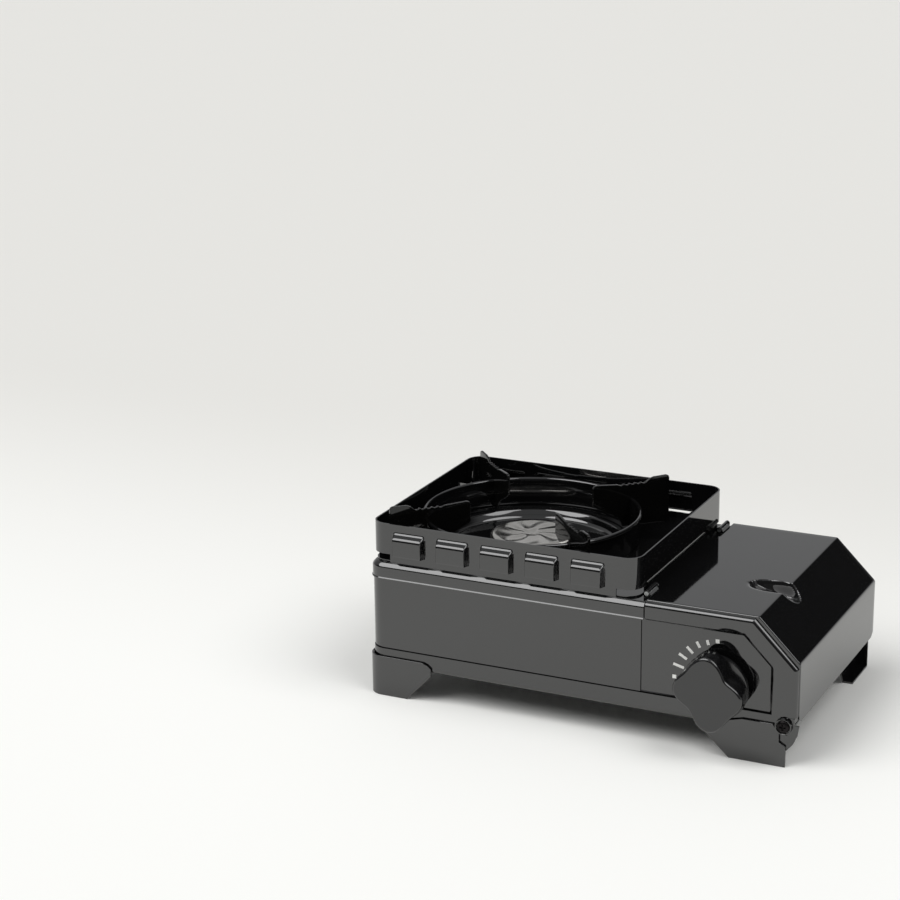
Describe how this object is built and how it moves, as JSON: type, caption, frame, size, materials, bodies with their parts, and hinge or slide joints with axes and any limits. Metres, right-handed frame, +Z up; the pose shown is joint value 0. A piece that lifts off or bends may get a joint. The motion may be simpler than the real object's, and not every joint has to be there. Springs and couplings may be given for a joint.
{
  "type": "butane cassette stove",
  "caption": "Portable butane cassette stove in black enamel with a double windshield, serrated pot supports, a lobed knob and a hinged lid over the canister bay.",
  "frame": {"origin": "on the ground under the middle of the overall size, lid closed and knob at off", "axes": "+X towards the canister side, +Y towards the back, +Z up"},
  "size_m": [0.286, 0.193, 0.122],
  "materials": {
    "black_enamel": "black high-gloss enamel on pressed steel",
    "black_enamel_lid": "black high-gloss enamel on the folded lid",
    "pot_support_enamel": "black satin enamel on thick steel plate",
    "zinc_plated_steel": "galvanised sheet",
    "stainless_steel": "bright stainless steel",
    "cast_aluminium": "die cast",
    "aluminium_sheet": "bare sheet",
    "brass": "turned",
    "screw_black": "black chromated steel",
    "knob_plastic": "black moulded phenolic, glossy",
    "black_plastic": "black moulded",
    "seal_rubber": "nitrile rubber",
    "magnet": "sintered ferrite",
    "ceramic": "glazed alumina ceramic",
    "lead_silicone": "silicone sleeve"
  },
  "bodies": {
    "stove_body": {"base_tray": "black_enamel", "front_panel": "black_enamel", "rear_panel": "black_enamel", "partition": "zinc_plated_steel", "top_plate": "black_enamel", "hinge_pins": "zinc_plated_steel", "foot_front_left": "black_enamel", "foot_front_right": "black_enamel", "foot_rear_right": "black_enamel", "foot_rear_left": "black_enamel", "foot_screws": "screw_black", "igniter_unit": "black_plastic", "regulator_body": "cast_aluminium", "regulator_cap": "zinc_plated_steel", "jet_nozzle": "brass", "canister_socket": "cast_aluminium", "socket_magnets": "magnet", "socket_seal": "seal_rubber", "canister_key": "zinc_plated_steel", "burner_bracket": "zinc_plated_steel", "burner_body": "cast_aluminium", "mixing_tube": "aluminium_sheet", "burner_cap": "stainless_steel", "drip_dish": "black_enamel", "electrode_insulator": "ceramic", "spark_electrode": "stainless_steel", "igniter_lead": "lead_silicone", "heat_panel": "aluminium_sheet", "body_screws": "screw_black"},
    "lid": {"canister_lid": "black_enamel_lid", "hinge_straps": "black_enamel_lid"},
    "knob": {"control_knob": "knob_plastic", "valve_spindle": "brass", "ignition_cam": "black_plastic"},
    "plunger": {"igniter_plunger": "black_plastic"},
    "windshield": {"outer_windshield": "black_enamel", "windshield_base": "black_enamel", "inner_windshield": "black_enamel", "pot_support_back_right": "pot_support_enamel", "pot_support_back_left": "pot_support_enamel", "pot_support_front_left": "pot_support_enamel", "pot_support_front_right": "pot_support_enamel"}
  },
  "joints": [
    {"name": "lid_hinge", "type": "hinge", "parent": "stove_body", "child": "lid", "pos_m": [0.0428, 0, 0.0918], "axis": [0, -1, 0], "range_deg": [0, 100]},
    {"name": "knob_turn", "type": "hinge", "parent": "stove_body", "child": "knob", "pos_m": [0.092, -0.0965, 0.0455], "axis": [0, -1, 0], "range_deg": [0, 100]},
    {"name": "plunger_push", "type": "slide", "parent": "stove_body", "child": "plunger", "axis": [-1, 0, 0], "range_m": [0, 0.004]},
    {"name": "windshield_lift", "type": "slide", "parent": "stove_body", "child": "windshield", "axis": [-0.2588, 0, 0.9659], "range_m": [0, 0.04]}
  ],
  "couplings": [
    {"joint": "plunger_push", "follows": "knob_turn", "m_per_rad": 0.002282}
  ]
}
